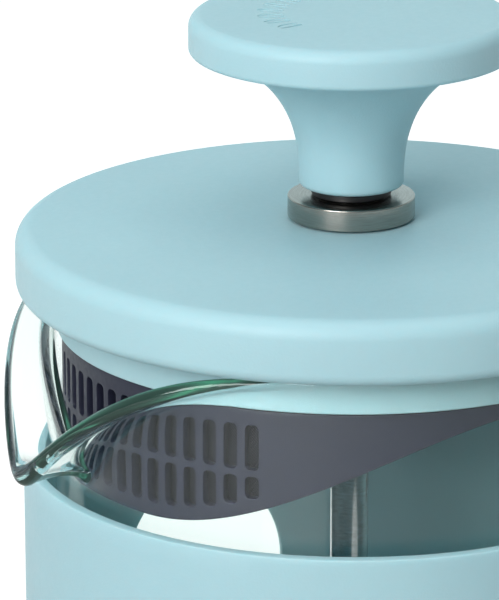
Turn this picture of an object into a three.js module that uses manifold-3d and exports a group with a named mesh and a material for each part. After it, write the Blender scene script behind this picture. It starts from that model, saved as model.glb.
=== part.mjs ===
// A one litre french press: a glass beaker in a plastic jacket, and a lid with a plunger through it.
// Millimetres, +Z up. The origin is on the beaker's axis, on the surface that the press stands on.
// The spout points along -X and the handle along +X.
import * as THREE from "three";
import { mergeVertices } from "three/addons/utils/BufferGeometryUtils.js";
import Module from "manifold-3d";

const wasm = await Module();
wasm.setup();

// ---- Clearances ----
const touch = 0.3; // between pieces that rest on or against each other
const runClearance = 0.3; // round a shaft that slides or turns
const over = 1; // how far a cutter reaches past the wall that it cuts

// ---- Smoothness: sides of a full turn ----
const bigSides = 48;
const beakerSides = 56;
const knobSides = 40;
const smallSides = 16;
const screwSides = 10;

// ---- Base ----
const padThickness = 2.2;
const padMargin = 13; // from the jacket's outside in to the pad's edge
const standOff = 0.8; // the hard plastic's height above the surface
const coverWall = 1.6; // the base cover over the pad
const floorThickness = 3.4; // the jacket's floor
const floorOpening = 30; // radius of the hole in the jacket's floor
const cushionThickness = 1.8;
const cushionRimHeight = 6;
const cushionRimWall = 0.8;
const baseScrewInset = 6; // from the jacket's inner wall in to the screws' circle
const baseScrewCount = 3;
const baseScrewTipCover = 1.2; // of floor over the screws' tips

// ---- Beaker ----
const beakerRadius = 48;
const beakerHeight = 171; // from its foot to the top of its rim
const glassWall = 1.9;
const glassFloor = 2.2;
const heelRadius = 6; // outside radius where the wall meets the floor
const rimBeadRadius = 1; // the rounded rim, a little thicker than the wall
const tipRounding = 2.2; // degrees of the spout's middle over which its shapes are rounded off
// Each part of the spout's shape has its size at the middle, and the angle either side of it, in
// degrees, and the power with which it fades out.
const lipReach = { size: 11.7, halfAngle: 45, power: 1.4 }; // how far the lip stands out from the wall
const lipDrop = { size: 19.4, halfAngle: 51, power: 3.25 }; // how far the lip hangs below the rim
const lipSwell = { size: 0.9, halfAngle: 34, power: 0.7 }; // extra thickness, as a share of the wall's
const spoutRoot = { size: 23, halfAngle: 45, power: 1.3 }; // the foot of the spout, below the rim
const spoutRootLead = 2; // from the lowest foot of the spout down to the plain wall
const leastFlare = 1; // the lip is at least this much above the foot of the spout
const bendRise = 0.75; // how far up from its foot the flare bends, as a share of its height
const bendLift = 0.1; // and more than that, as a share of its reach
const swellStart = 0.3; // where the glass starts to thicken, as a share of the way up to the lip

// ---- Jacket ----
const jacketWall = 1.8;
const jacketClearance = 1.4; // between the glass and the jacket
const glassAboveJacket = 26.5; // the beaker's rim above the jacket's rim
const windowWidth = 34.2;
const windowTopDrop = 36.5; // from the jacket's rim to the centre of the window's round top
const windowBottomRise = 44; // from the jacket's foot to the centre of its round bottom

// ---- Handle ----
const handleReach = 41; // from the jacket's outside
const handleBottomRise = 33.9; // from the jacket's foot
const handleTopDrop = 16; // from the jacket's rim
const handleThickness = 10;
const handleWidth = 19;
const handleCorner = 24; // outside corner radius
const handleBevel = 3;
const handleScrewLength = 9; // in the handle
const handleScrewRadius = 1.8;
const handleScrewHead = 0.6; // thickness
const handleScrewSeat = 0.5; // from the jacket's round inner wall to the flat head
const handleScrewHeadRadius = 3.6;

// ---- Lid ----
const lidOverhang = 4; // beyond the glass
const lidThickness = 9.93;
const lidWall = 2.6;
const lidTopFillet = 2.9;
const lidBottomFillet = 2;
const lidDome = 1.0; // rise of the top from its edge to the middle
const flangeGap = 0.4; // between the glass rim and the collar's flange above it
const collarFlange = 2;
const lidGap = 0.1; // between the glass rim and the lid's edge, which stays just clear of it
const collarDepth = 5.8; // of the plug below the lid
const collarWall = 2.2;
const collarClearance = 0.3; // between the plug and the glass rim

// ---- Strainer ----
const strainerInset = 0.8; // from the plug's outside
const strainerWall = 1.5;
const spigotWall = 1.6;
const webThickness = 1.6;
const webOpening = 30; // radius of the hole in the strainer's web
const webScrewInset = 4.5; // from that hole out to the screws' circle
const skirtShallow = 1.8; // depth of the skirt at the back
const skirtExtra = 17.8; // how much deeper it is at the spout
const skirtFlat = 15; // degrees either side of the spout where it is deepest
const skirtSlope = 80; // degrees from there to its shallow part
const slotColumns = 19;
const slotPitch = 4.3; // degrees
const slotWidth = 2.1;
const slotTopDrop = 2.45; // from the skirt's top to the upper slots
const upperSlotHeight = 7;
const slotBridge = 1; // between the upper and lower slots
const slotBottomMargin = 2.15; // below the lower slots
const liningWall = 0.6; // the fine mesh behind the slots
const liningMargin = 1; // from the skirt's lower edge up to the lining's
const liningHalfAngle = 44; // degrees either side of the spout

// ---- Guide through the lid ----
const rodRadius = 3;
const bushWall = 1.6;
const ringRadius = 9.85;
const ringHeight = 3.3;
const bushFlange = 1.3; // radius beyond the tube
const bushFlangeHeight = 1.05;
const bushTail = 1; // how far the bush stands out below its nut
const bossRadius = 9;
const nutAcrossCorners = 17;
const nutHeight = 4.5;

// ---- Knob ----
const knobRadius = 25.06;
const knobDiscHeight = 6;
const knobNeckHeight = 21;
const knobNeckRadius = 8.13;
const knobStraight = 1.8; // the neck's straight foot
const knobFlarePower = 2.25;
const knobTopFillet = 2;
const knobEdgeFillet = 0.8;
const knobBoreDepth = 17.6;
const insertWall = 2.9;
const insertRecess = 2.9; // from the neck's foot up to the insert
const insertLength = 13.5;
const threadRadius = 2.3; // at both ends of the rod
const topThreadLength = 12;

// ---- Filter on the rod ----
const filterRest = 3.2; // from the glass floor up to the hub nut
const hubNutHeight = 4;
const hubNutAcrossCorners = 13;
const crossPlateThickness = 1;
const crossPlateMargin = 4; // from the glass
const meshThickness = 0.6;
const meshMargin = 0.5; // from the glass
const meshRimHeight = 4.6;
const springWire = 3; // outside diameter of the coiled edge spring
const topPlateThickness = 0.8;
const topPlateRise = 4.5;
const shoulderDrop = 2; // from the dome's underside down to the rod's shoulder
const stopRadius = 5;
const stopHeight = 3.4;
const plateHoleRadius = 2.6;
const plateHoleCount = 8;
const plateHoleCircle = 0.72; // radius of the holes' circle, as a share of the plate's
const crossPlateRows = [ // of holes: circle as a share of the plate's radius, count, turn in radians
  { circle: 0.42, count: 8, turn: 0 },
  { circle: 0.76, count: 12, turn: 0.13 },
];

// ---- Screws ----
const screwRadius = 1.4;
const screwHeadRadius = 2.7;
const screwHeadHeight = 1.3;
const strainerScrewCount = 3;
const strainerScrewLength = 3.6;

// ---- Levels and radii that follow ----
const beakerInside = beakerRadius - glassWall;
const jacketInside = beakerRadius + jacketClearance;
const jacketOutside = jacketInside + jacketWall;
const coverTop = padThickness + touch + coverWall;
const floorBottom = coverTop + touch;
const floorTop = floorBottom + floorThickness;
const cushionTop = floorTop + touch + cushionThickness;
const beakerFoot = cushionTop + touch;
const glassFloorTop = beakerFoot + glassFloor;
const rimTop = beakerFoot + beakerHeight;
const rimMiddle = rimTop - rimBeadRadius;
const jacketRim = rimTop - glassAboveJacket;
const lidRadius = beakerRadius + lidOverhang;
const lidUnder = rimTop + lidGap;
const lidTop = lidUnder + lidThickness;
const flangeBottom = rimTop + flangeGap;
const flangeTop = flangeBottom + collarFlange;
const collarRadius = beakerRadius - glassWall / 2 - rimBeadRadius - collarClearance;
const collarBottom = lidUnder - collarDepth;
const strainerRadius = collarRadius - strainerInset;
const strainerTop = collarBottom - touch;
const spigotRadius = collarRadius - collarWall - touch;
const webTop = flangeBottom - touch;
const bushBore = rodRadius + runClearance;
const bushRadius = bushBore + bushWall;
const guideHole = bushRadius + touch;
const ringBottom = lidTop + lidDome + touch;
const ringTop = ringBottom + ringHeight;
const bushTop = ringTop + touch + bushFlangeHeight;
const nutTop = flangeBottom - touch;
const nutBottom = nutTop - nutHeight;
const bushBottom = nutBottom - bushTail;
const knobFoot = bushTop + touch;
const knobUnder = knobFoot + knobNeckHeight;
const knobTop = knobUnder + knobDiscHeight;
const threadBore = threadRadius + touch;
const insertRadius = threadBore + insertWall;
const insertBottom = knobFoot + insertRecess;
const hubBottom = glassFloorTop + filterRest;
const crossBottom = hubBottom + hubNutHeight + touch;
const meshBottom = crossBottom + crossPlateThickness + touch;
const meshRadius = beakerInside - meshMargin;
const plateBottom = meshBottom + meshThickness + touch;
const springRadius = meshRadius - meshThickness - touch - springWire / 2;
const springInside = springRadius - springWire / 2;
const topPlateRadius = springInside - touch;
const topPlateTop = plateBottom + topPlateThickness + topPlateRise;
const stopBottom = topPlateTop + touch;
const rodShoulder = topPlateTop - topPlateThickness - shoulderDrop;

// ---- From three.js shapes to solids and back ----
function solid(geometry) {
  const bare = geometry.clone();
  bare.deleteAttribute("normal");
  bare.deleteAttribute("uv");
  const merged = mergeVertices(bare, 1e-4);
  const index = merged.index.array;
  const kept = [];
  for (let i = 0; i < index.length; i += 3) {
    const [a, b, c] = [index[i], index[i + 1], index[i + 2]];
    if (a !== b && b !== c && c !== a) kept.push(a, b, c);
  }
  const vertProperties = new Float32Array(merged.attributes.position.array);
  const triVerts = new Uint32Array(kept);
  return new wasm.Manifold(new wasm.Mesh({ numProp: 3, vertProperties, triVerts }));
}

function geometryOf(body) {
  const mesh = body.getMesh();
  const positions = new THREE.BufferAttribute(new Float32Array(mesh.vertProperties), 3);
  const geometry = new THREE.BufferGeometry().setAttribute("position", positions);
  geometry.setIndex(new THREE.BufferAttribute(new Uint32Array(mesh.triVerts), 1));
  geometry.computeVertexNormals();
  return geometry;
}

function cut(geometry, cutters) {
  let body = solid(geometry);
  for (const cutter of cutters) body = body.subtract(solid(cutter));
  return geometryOf(body);
}

// A figure of revolution about Z. Its outline is a list of [radius, height], anticlockwise.
function turned(outline, sides) {
  const points = outline.map(([r, z]) => new THREE.Vector2(r, z));
  return new THREE.LatheGeometry(points, sides).rotateX(Math.PI / 2).rotateZ(Math.PI / 2);
}

// The same, for an outline that doesn't reach the axis: it is closed here.
function turnedRing(outline, sides) {
  return turned([...outline, outline[0]], sides);
}

function tube(inner, outer, bottom, top, sides) {
  return turnedRing([[inner, bottom], [outer, bottom], [outer, top], [inner, top]], sides);
}

// Points of an arc in an outline, both ends included, in degrees.
function arc(centreR, centreZ, radius, from, to, steps) {
  const points = [];
  for (let i = 0; i <= steps; i++) {
    const a = THREE.MathUtils.degToRad(from + ((to - from) * i) / steps);
    points.push([centreR + radius * Math.cos(a), centreZ + radius * Math.sin(a)]);
  }
  return points;
}

function circlePoints(x, y, radius, sides) {
  const points = [];
  for (let i = 0; i < sides; i++) {
    const a = (2 * Math.PI * i) / sides;
    points.push(new THREE.Vector2(x + radius * Math.cos(a), y + radius * Math.sin(a)));
  }
  return points;
}

function rod(radius, bottom, top, sides) {
  return turned([[0, bottom], [radius, bottom], [radius, top], [0, top]], sides);
}

// A flat shape drawn up into a plate, from Z = 0.
function extruded(outline, depth, curveSegments) {
  return new THREE.ExtrudeGeometry(outline, { depth, curveSegments, bevelEnabled: false });
}

// A solid bar along X from x = from to x = to, at height z.
function barAlongX(radius, from, to, z, sides) {
  return rod(radius, from, to, sides).rotateY(Math.PI / 2).translate(0, 0, z);
}

// ---- Base pieces ----
const padRadius = jacketOutside - padMargin;
const coverRadius = jacketInside - touch;
const baseScrewCircle = jacketInside - baseScrewInset;
const baseScrewHeadBottom = standOff + touch;
const baseScrewHeadTop = baseScrewHeadBottom + screwHeadHeight;
const baseScrewTip = floorTop - baseScrewTipCover;

function footPad() {
  return rod(padRadius, 0, padThickness, bigSides);
}

function placeOnBase(geometry, i) {
  const turn = (2 * Math.PI * i) / baseScrewCount;
  return geometry.translate(baseScrewCircle, 0, 0).rotateZ(turn);
}

function baseCover() {
  const recess = padRadius + touch;
  const recessTop = padThickness + touch;
  const disc = turned([
    [0, recessTop], [recess, recessTop], [recess, standOff],
    [coverRadius, standOff], [coverRadius, coverTop], [0, coverTop],
  ], bigSides);
  const cutters = [];
  for (let i = 0; i < baseScrewCount; i++) {
    const headTop = baseScrewHeadTop + touch;
    const head = rod(screwHeadRadius + touch, standOff - over, headTop, screwSides);
    const shank = rod(screwRadius + touch, headTop - over, coverTop + over, screwSides);
    cutters.push(placeOnBase(head, i), placeOnBase(shank, i));
  }
  return cut(disc, cutters);
}

function screw(headBottom, headTop, tip) {
  return turned([
    [0, headBottom], [screwHeadRadius, headBottom], [screwHeadRadius, headTop],
    [screwRadius, headTop], [screwRadius, tip], [0, tip],
  ], screwSides);
}

function beakerCushion() {
  const rimInner = beakerRadius + touch;
  const bottom = floorTop + touch;
  const rim = cushionTop + cushionRimHeight;
  const outer = rimInner + cushionRimWall;
  return turnedRing([
    [floorOpening, bottom], [outer, bottom], [outer, rim], [rimInner, rim],
    [rimInner, cushionTop], [floorOpening, cushionTop],
  ], bigSides);
}

// ---- Jacket ----
const handleTop = jacketRim - handleTopDrop;
const handleBottom = standOff + handleBottomRise;
const handleScrewLevels = [
  handleTop - handleThickness / 2,
  handleBottom + handleThickness / 2,
];

// A window's opening: straight sides with a round top and bottom, along Y from the axis outwards.
function windowCutter(side) {
  const top = jacketRim - windowTopDrop;
  const bottom = standOff + windowBottomRise;
  const half = windowWidth / 2;
  const outline = new THREE.Shape();
  outline.absarc(0, top, half, 0, Math.PI, false);
  outline.absarc(0, bottom, half, Math.PI, 2 * Math.PI, false);
  const prism = extruded(outline, jacketOutside + over, 12).rotateX(Math.PI / 2);
  return side > 0 ? prism.rotateZ(Math.PI) : prism;
}

function jacket() {
  const rimRound = jacketWall / 2;
  const shell = turnedRing([
    [jacketInside, standOff], [jacketOutside, standOff],
    ...arc(jacketOutside - rimRound, jacketRim - rimRound, rimRound, 0, 180, 4),
    [jacketInside, floorTop], [floorOpening, floorTop],
    [floorOpening, floorBottom], [jacketInside, floorBottom],
  ], bigSides);
  const cutters = [windowCutter(1), windowCutter(-1)];
  for (const level of handleScrewLevels) {
    const radius = handleScrewRadius + touch;
    cutters.push(barAlongX(radius, jacketInside - over, jacketOutside + over, level, screwSides));
  }
  for (let i = 0; i < baseScrewCount; i++) {
    const hole = rod(screwRadius + touch, floorBottom - over, baseScrewTip + touch, screwSides);
    cutters.push(placeOnBase(hole, i));
  }
  return cut(shell, cutters);
}

// ---- Handle: a loop whose two arms end on the jacket ----
function handle() {
  const outerX = jacketOutside + handleReach - handleBevel;
  const innerX = jacketOutside - over;
  const top = handleTop - handleBevel;
  const bottom = handleBottom + handleBevel;
  const thick = handleThickness - 2 * handleBevel;
  const corner = handleCorner - handleBevel;
  const inside = corner - thick;
  const outline = new THREE.Shape();
  outline.moveTo(innerX, bottom);
  outline.lineTo(outerX - corner, bottom);
  outline.absarc(outerX - corner, bottom + corner, corner, -Math.PI / 2, 0, false);
  outline.absarc(outerX - corner, top - corner, corner, 0, Math.PI / 2, false);
  outline.lineTo(innerX, top);
  outline.lineTo(innerX, top - thick);
  outline.absarc(outerX - corner, top - corner, inside, Math.PI / 2, 0, true);
  outline.absarc(outerX - corner, bottom + corner, inside, 0, -Math.PI / 2, true);
  outline.lineTo(innerX, bottom + thick);
  const depth = handleWidth - 2 * handleBevel;
  const bevel = { bevelThickness: handleBevel, bevelSize: handleBevel, bevelSegments: 2 };
  const loop = new THREE.ExtrudeGeometry(outline, { depth, curveSegments: 5, ...bevel });
  loop.translate(0, 0, -depth / 2).rotateX(Math.PI / 2);
  const bodyCutter = rod(jacketOutside + touch, handleBottom - over, handleTop + over, bigSides);
  const cutters = [bodyCutter];
  for (const level of handleScrewLevels) {
    const deep = jacketOutside + handleScrewLength + touch;
    cutters.push(barAlongX(handleScrewRadius + touch, jacketInside, deep, level, screwSides));
  }
  return cut(loop, cutters);
}

function handleScrew(level) {
  const headTop = jacketInside - handleScrewSeat;
  const headBottom = headTop - handleScrewHead;
  const tip = jacketOutside + handleScrewLength;
  const along = turned([
    [0, headBottom], [handleScrewHeadRadius, headBottom], [handleScrewHeadRadius, headTop],
    [handleScrewRadius, headTop], [handleScrewRadius, tip], [0, tip],
  ], screwSides);
  return along.rotateY(Math.PI / 2).translate(0, 0, level);
}

// ---- Glass beaker ----
const spoutLow = rimMiddle - spoutRoot.size - spoutRootLead;
const wallMiddle = beakerRadius - glassWall / 2;

// A part of the spout's shape at an angle in degrees from the spout's middle.
function faded({ size, halfAngle, power }, angle) {
  const rounded = Math.hypot(angle, tipRounding) - tipRounding;
  return size * Math.pow(Math.max(0, 1 - rounded / halfAngle), power);
}

// The middle line of the glass wall at an angle from the spout, from the level spoutLow up to the rim:
// straight up, then out along a curve to the lip. It gives the point and direction at a share s of
// its length, and how much thicker the glass is there, as a share of the wall.
function wallLine(angle, s) {
  const reach = faded(lipReach, angle);
  const lip = new THREE.Vector2(wallMiddle + reach, rimMiddle - faded(lipDrop, angle));
  const rootZ = Math.min(lip.y - leastFlare, rimMiddle - faded(spoutRoot, angle));
  const bend = new THREE.Vector2(wallMiddle, rootZ + bendRise * (lip.y - rootZ) + bendLift * reach);
  const root = new THREE.Vector2(wallMiddle, Math.max(rootZ, spoutLow));
  const rise = new THREE.LineCurve(new THREE.Vector2(wallMiddle, spoutLow), root);
  const flare = new THREE.QuadraticBezierCurve(root, bend, lip);
  const risen = rise.getLength() / (rise.getLength() + flare.getLength());
  const end = Math.min(s, 1);
  const curve = end < risen ? rise : flare;
  const t = end < risen ? end / risen : (end - risen) / (1 - risen);
  const ramp = Math.max(0, end - swellStart) / (1 - swellStart);
  return { at: curve.getPoint(t), along: curve.getTangent(t), swell: faded(lipSwell, angle) * ramp * ramp };
}

function glassBeaker() {
  const heel = heelRadius - glassWall;
  const steps = 6;
  const outerWall = [];
  const innerWall = [];
  for (let i = 0; i < steps; i++) {
    const z = spoutLow + ((rimMiddle - spoutLow) * i) / steps;
    outerWall.push([beakerRadius, z]);
    innerWall.unshift([beakerInside, z]);
  }
  const blank = turned([
    [0, beakerFoot],
    ...arc(beakerRadius - heelRadius, beakerFoot + heelRadius, heelRadius, -90, 0, 3),
    ...outerWall,
    ...arc(wallMiddle, rimMiddle, rimBeadRadius, 0, 180, 4),
    ...innerWall,
    ...arc(beakerInside - heel, glassFloorTop + heel, heel, 0, -90, 3),
    [0, glassFloorTop],
  ], beakerSides);
  const position = blank.attributes.position;
  const crowding = 0.4; // how much closer the sides lie at the spout than on average
  for (let i = 0; i < position.count; i++) {
    const r = Math.hypot(position.getX(i), position.getY(i));
    const z = position.getZ(i);
    const even = Math.atan2(-position.getY(i), -position.getX(i));
    const turn = even - crowding * Math.sin(even);
    let [newR, newZ] = [r, z];
    if (z > spoutLow) {
      const s = (z - spoutLow) / (rimMiddle - spoutLow);
      const { at, along, swell } = wallLine(THREE.MathUtils.radToDeg(turn), s);
      const off = (r - wallMiddle) * (1 + swell);
      const beyond = Math.max(0, z - rimMiddle) * (1 + swell) - (s < 1 ? 0 : rimBeadRadius * swell);
      newR = at.x + off * along.y + beyond * along.x;
      newZ = at.y - off * along.x + beyond * along.y;
    }
    position.setXYZ(i, -newR * Math.cos(turn), -newR * Math.sin(turn), newZ);
  }
  return blank;
}

// ---- Lid ----
function lidCover() {
  const inside = lidRadius - lidWall;
  const edge = lidRadius - lidTopFillet;
  const dome = [0.7, 0.4].map((share) => {
    return [guideHole + share * (edge - guideHole), lidTop + lidDome * (1 - share * share)];
  });
  return turnedRing([
    [guideHole, flangeTop + touch], [bossRadius, flangeTop + touch],
    [bossRadius, lidTop - lidWall], [inside, lidTop - lidWall], [inside, lidUnder],
    ...arc(lidRadius - lidBottomFillet, lidUnder + lidBottomFillet, lidBottomFillet, -90, 0, 2),
    ...arc(edge, lidTop - lidTopFillet, lidTopFillet, 0, 90, 3),
    ...dome, [guideHole, lidTop + lidDome],
  ], bigSides);
}

function lidCollar() {
  const flangeRadius = lidRadius - lidWall - touch;
  const plugInside = collarRadius - collarWall;
  const ring = turnedRing([
    [guideHole, flangeBottom], [plugInside, flangeBottom], [plugInside, collarBottom],
    [collarRadius, collarBottom], [collarRadius, flangeBottom], [flangeRadius, flangeBottom],
    [flangeRadius, flangeTop], [guideHole, flangeTop],
  ], bigSides);
  const cutters = [];
  for (let i = 0; i < strainerScrewCount; i++) {
    const hole = rod(screwRadius + touch, flangeBottom - over, flangeTop + over, screwSides);
    cutters.push(placeOnWeb(hole, i));
  }
  return cut(ring, cutters);
}

// ---- Strainer ----
const webScrewCircle = webOpening + webScrewInset;
const webScrewHeadBottom = webTop - webThickness - touch - screwHeadHeight;

function placeOnWeb(geometry, i) {
  const turn = (2 * Math.PI * i) / strainerScrewCount;
  return geometry.translate(webScrewCircle, 0, 0).rotateZ(turn);
}

// The level of the skirt's lower edge at an angle in degrees from the spout.
function skirtBottom(angle) {
  const share = THREE.MathUtils.clamp((Math.abs(angle) - skirtFlat) / skirtSlope, 0, 1);
  return strainerTop - skirtShallow - (skirtExtra * (1 + Math.cos(Math.PI * share))) / 2;
}

function slotCutter(angle, bottom, top) {
  const half = slotWidth / 2;
  const outline = new THREE.Shape();
  outline.absarc(0, top - half, half, 0, Math.PI, false);
  outline.absarc(0, bottom + half, half, Math.PI, 2 * Math.PI, false);
  const prism = extruded(outline, strainerWall + 2 * over, 2);
  prism.rotateX(Math.PI / 2).translate(0, strainerRadius + over, 0);
  return prism.rotateZ(Math.PI / 2 + THREE.MathUtils.degToRad(angle));
}

function strainer() {
  const inside = strainerRadius - strainerWall;
  const spigotInside = spigotRadius - spigotWall;
  const ledge = strainerTop - strainerWall;
  const lowest = strainerTop - skirtShallow;
  const shell = turnedRing([
    [inside, lowest], [strainerRadius, lowest], [strainerRadius, strainerTop],
    [spigotRadius, strainerTop], [spigotRadius, webTop], [webOpening, webTop],
    [webOpening, webTop - webThickness], [spigotInside, webTop - webThickness],
    [spigotInside, ledge], [inside, ledge],
  ], bigSides);
  const position = shell.attributes.position;
  for (let i = 0; i < position.count; i++) {
    if (position.getZ(i) > lowest + 0.01) continue;
    const turn = Math.atan2(-position.getY(i), -position.getX(i));
    position.setZ(i, skirtBottom(THREE.MathUtils.radToDeg(turn)));
  }
  const upperTop = strainerTop - slotTopDrop;
  const lowerTop = upperTop - upperSlotHeight - slotBridge;
  const cutters = [];
  for (let i = 0; i < slotColumns; i++) {
    const angle = (i - (slotColumns - 1) / 2) * slotPitch;
    cutters.push(slotCutter(angle, upperTop - upperSlotHeight, upperTop));
    cutters.push(slotCutter(angle, skirtBottom(angle) + slotBottomMargin, lowerTop));
  }
  for (let i = 0; i < strainerScrewCount; i++) {
    const hole = rod(screwRadius + touch, webTop - webThickness - over, webTop + over, screwSides);
    cutters.push(placeOnWeb(hole, i));
  }
  return cut(shell, cutters);
}

// A fine mesh that stands close behind the slots, with its lower edge along the skirt's.
function strainerLining() {
  const outer = strainerRadius - strainerWall - touch;
  const inner = outer - liningWall;
  const top = strainerTop - strainerWall - touch;
  const foot = top - over;
  const ring = tube(inner, outer, foot, top, bigSides);
  const position = ring.attributes.position;
  for (let i = 0; i < position.count; i++) {
    if (position.getZ(i) > foot + 0.01) continue;
    const turn = Math.atan2(-position.getY(i), -position.getX(i));
    position.setZ(i, Math.min(foot, skirtBottom(THREE.MathUtils.radToDeg(turn)) + liningMargin));
  }
  const keptX = inner * Math.cos(THREE.MathUtils.degToRad(liningHalfAngle));
  const size = 3 * strainerRadius;
  const rest = new THREE.BoxGeometry(size, size, size).translate(size / 2 - keptX, 0, top);
  return cut(ring, [rest]);
}

function strainerScrew(i) {
  const headTop = webScrewHeadBottom + screwHeadHeight;
  return placeOnWeb(screw(webScrewHeadBottom, headTop, headTop + strainerScrewLength), i);
}

// ---- Guide ----
function lidRing() {
  return tube(guideHole, ringRadius, ringBottom, ringTop, bigSides / 2);
}

function lidBush() {
  const flange = bushRadius + bushFlange;
  return turnedRing([
    [bushBore, bushBottom], [bushRadius, bushBottom], [bushRadius, ringTop + touch],
    [flange, ringTop + touch], [flange, bushTop], [bushBore, bushTop],
  ], smallSides);
}

// A hexagonal nut with a round hole, lying flat.
function nut(acrossCorners, hole, bottom, height) {
  const outline = new THREE.Shape(circlePoints(0, 0, acrossCorners / 2, 6));
  outline.holes.push(new THREE.Path(circlePoints(0, 0, hole, smallSides)));
  return extruded(outline, height, 1).translate(0, 0, bottom);
}

// ---- Knob ----
function knob() {
  const neckLength = knobNeckHeight - knobStraight;
  const reach = knobRadius - knobNeckRadius;
  const neck = [];
  for (const share of [0, 0.3, 0.52, 0.7, 0.84, 0.95]) {
    const out = reach * (1 - Math.sqrt(1 - Math.pow(share, knobFlarePower)));
    neck.push([knobNeckRadius + out, knobFoot + knobStraight + share * neckLength]);
  }
  const bore = insertRadius + touch;
  const edge = knobRadius - knobEdgeFillet;
  const top = knobRadius - knobTopFillet;
  const footRound = knobNeckRadius - knobEdgeFillet;
  return turned([
    [0, knobFoot + knobBoreDepth], [bore, knobFoot + knobBoreDepth], [bore, knobFoot],
    ...arc(footRound, knobFoot + knobEdgeFillet, knobEdgeFillet, -90, 0, 2),
    ...neck,
    ...arc(edge, knobUnder + knobEdgeFillet, knobEdgeFillet, -90, 0, 2),
    ...arc(top, knobTop - knobTopFillet, knobTopFillet, 0, 90, 3),
    [0, knobTop],
  ], knobSides);
}

function knobInsert() {
  return tube(threadBore, insertRadius, insertBottom, insertBottom + insertLength, smallSides);
}

// ---- Plunger ----
function plungerRod() {
  const shoulderTop = insertBottom - touch;
  return turned([
    [0, hubBottom], [threadRadius, hubBottom], [threadRadius, rodShoulder], [rodRadius, rodShoulder],
    [rodRadius, shoulderTop], [threadRadius, shoulderTop],
    [threadRadius, shoulderTop + topThreadLength], [0, shoulderTop + topThreadLength],
  ], smallSides);
}

function rodStop() {
  return tube(rodRadius + touch, stopRadius, stopBottom, stopBottom + stopHeight, smallSides);
}

function topPlate() {
  const hole = rodRadius + touch;
  const under = [];
  const upper = [];
  for (const share of [0, 0.3, 0.6, 0.85, 1]) {
    const r = hole + share * (topPlateRadius - hole);
    const z = plateBottom + topPlateRise * (1 - share * share);
    under.push([r, z]);
    upper.unshift([r, z + topPlateThickness]);
  }
  const dome = turnedRing([...under, ...upper], bigSides);
  const cutters = [];
  for (let i = 0; i < plateHoleCount; i++) {
    const hole = rod(plateHoleRadius, plateBottom - over, topPlateTop + over, screwSides);
    hole.translate(plateHoleCircle * topPlateRadius, 0, 0);
    cutters.push(hole.rotateZ((2 * Math.PI * i) / plateHoleCount));
  }
  return cut(dome, cutters);
}

function edgeSpring() {
  const middle = plateBottom + springWire / 2;
  return new THREE.TorusGeometry(springRadius, springWire / 2, 6, bigSides).translate(0, 0, middle);
}

function filterMesh() {
  const hole = threadRadius + touch;
  const inside = meshRadius - meshThickness;
  return turnedRing([
    [hole, meshBottom], [meshRadius, meshBottom], [meshRadius, meshBottom + meshRimHeight],
    [inside, meshBottom + meshRimHeight], [inside, meshBottom + meshThickness],
    [hole, meshBottom + meshThickness],
  ], bigSides);
}

function crossPlate() {
  const radius = beakerInside - crossPlateMargin;
  const outline = new THREE.Shape(circlePoints(0, 0, radius, bigSides));
  outline.holes.push(new THREE.Path(circlePoints(0, 0, threadRadius + touch, smallSides)));
  for (const { circle, count, turn } of crossPlateRows) {
    for (let i = 0; i < count; i++) {
      const a = turn + (2 * Math.PI * i) / count;
      const [x, y] = [circle * radius * Math.cos(a), circle * radius * Math.sin(a)];
      outline.holes.push(new THREE.Path(circlePoints(x, y, plateHoleRadius, 8)));
    }
  }
  return extruded(outline, crossPlateThickness, 1).translate(0, 0, crossBottom);
}

// ---- Materials: colour, roughness, metalness ----
function finish(color, roughness, metalness) {
  return new THREE.MeshStandardMaterial({ color, roughness, metalness });
}
const paleBlue = finish(0xa9cfd5, 0.55, 0);
const glass = finish(0xe4f2ee, 0.05, 0);
glass.transparent = true;
glass.opacity = 0.3;
const charcoal = finish(0x3a3b42, 0.5, 0);
const black = finish(0x1c1d20, 0.5, 0);
const nylon = finish(0x24242a, 0.7, 0);
const silicone = finish(0x50565a, 0.8, 0);
const brushedSteel = finish(0xb9b4ac, 0.35, 1);
const polishedSteel = finish(0xc9ccce, 0.15, 1);
const brass = finish(0xc2a25a, 0.35, 1);

// ---- The press ----
const press = new THREE.Group();
press.name = "french_press";

function add(name, geometry, material) {
  const mesh = new THREE.Mesh(geometry, material);
  mesh.name = name;
  press.add(mesh);
}

add("foot_pad", footPad(), silicone);
add("base_cover", baseCover(), charcoal);
for (let i = 0; i < baseScrewCount; i++) {
  const body = screw(baseScrewHeadBottom, baseScrewHeadTop, baseScrewTip);
  add(`base_screw_${i + 1}`, placeOnBase(body, i), polishedSteel);
}
add("jacket", jacket(), paleBlue);
add("handle", handle(), paleBlue);
["upper", "lower"].forEach((place, i) => {
  add(`handle_screw_${place}`, handleScrew(handleScrewLevels[i]), polishedSteel);
});
add("beaker_cushion", beakerCushion(), silicone);
add("glass_beaker", glassBeaker(), glass);
add("lid_cover", lidCover(), paleBlue);
add("lid_collar", lidCollar(), paleBlue);
add("strainer", strainer(), charcoal);
add("strainer_lining", strainerLining(), nylon);
for (let i = 0; i < strainerScrewCount; i++) {
  add(`strainer_screw_${i + 1}`, strainerScrew(i), polishedSteel);
}
add("lid_ring", lidRing(), brushedSteel);
add("lid_bush", lidBush(), black);
add("bush_nut", nut(nutAcrossCorners, guideHole, nutBottom, nutHeight), black);
add("plunger_rod", plungerRod(), polishedSteel);
add("rod_stop", rodStop(), polishedSteel);
add("top_plate", topPlate(), polishedSteel);
add("edge_spring", edgeSpring(), brushedSteel);
add("filter_mesh", filterMesh(), brushedSteel);
add("cross_plate", crossPlate(), polishedSteel);
add("hub_nut", nut(hubNutAcrossCorners, threadBore, hubBottom, hubNutHeight), polishedSteel);
add("knob", knob(), paleBlue);
add("knob_insert", knobInsert(), brass);

export default press;
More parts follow.
